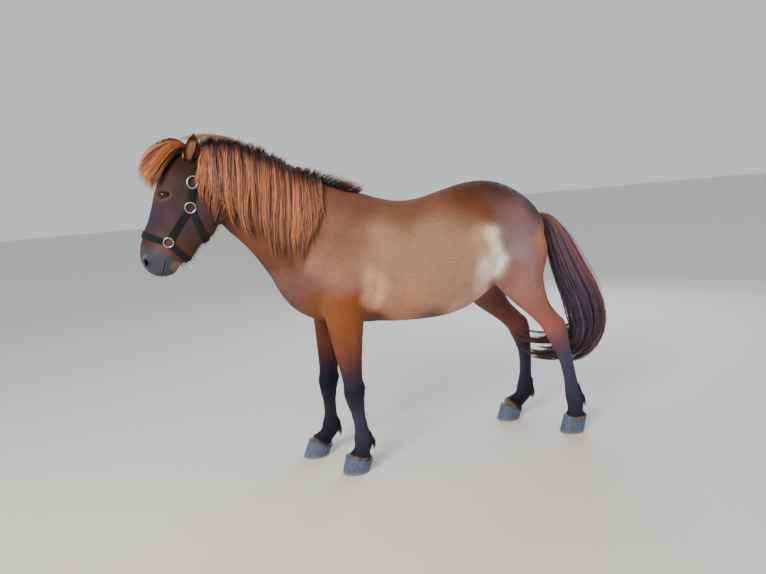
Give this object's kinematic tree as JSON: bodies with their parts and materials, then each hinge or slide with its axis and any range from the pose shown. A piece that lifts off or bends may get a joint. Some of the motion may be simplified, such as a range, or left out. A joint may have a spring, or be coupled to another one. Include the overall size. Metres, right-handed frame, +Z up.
{
  "type": "icelandic horse",
  "caption": "Icelandic horse standing with its head up, with a thick mane and forelock, a long swept tail and a webbing head collar; life-size still model.",
  "frame": {"origin": "On the floor, under the middle of the whole horse: midway between nose and tail and between its sides, at the height of the soles.", "axes": "+Z is up. The horse faces -X, so +X runs back along its length to the tail, the longest extent. +Y points to its right side, across its width, the shortest extent."},
  "size_m": [2.3991, 0.5353, 1.6946],
  "materials": {
    "coat_body": "short fur",
    "coat_neck": "short fur",
    "coat_head": "short fur",
    "coat_leg": "short fur",
    "ear_skin": "short fur",
    "mane_hair": "long hair",
    "forelock_hair": "long hair",
    "tail_hair": "long hair",
    "horn": "hoof horn",
    "eye": "wet",
    "webbing": "woven",
    "ring_metal": "bright"
  },
  "bodies": {
    "root": {"torso": "coat_body", "neck": "coat_neck", "head": "coat_head", "ear_left": "ear_skin", "ear_right": "ear_skin", "eye_left": "eye", "eye_right": "eye", "mane": "mane_hair", "forelock": "forelock_hair", "tail": "tail_hair", "leg_fore_left": "coat_leg", "leg_fore_right": "coat_leg", "leg_hind_left": "coat_leg", "leg_hind_right": "coat_leg", "hoof_fore_left": "horn", "hoof_fore_right": "horn", "hoof_hind_left": "horn", "hoof_hind_right": "horn", "strap_crown": "webbing", "strap_throat": "webbing", "strap_nose": "webbing", "strap_chin": "webbing", "strap_cheek_left": "webbing", "strap_cheek_right": "webbing", "strap_jaw_left": "webbing", "strap_jaw_right": "webbing", "ring_upper_left": "ring_metal", "ring_upper_right": "ring_metal", "ring_cheek_left": "ring_metal", "ring_cheek_right": "ring_metal", "ring_nose_left": "ring_metal", "ring_nose_right": "ring_metal", "ring_chin": "ring_metal"}
  },
  "joints": []
}
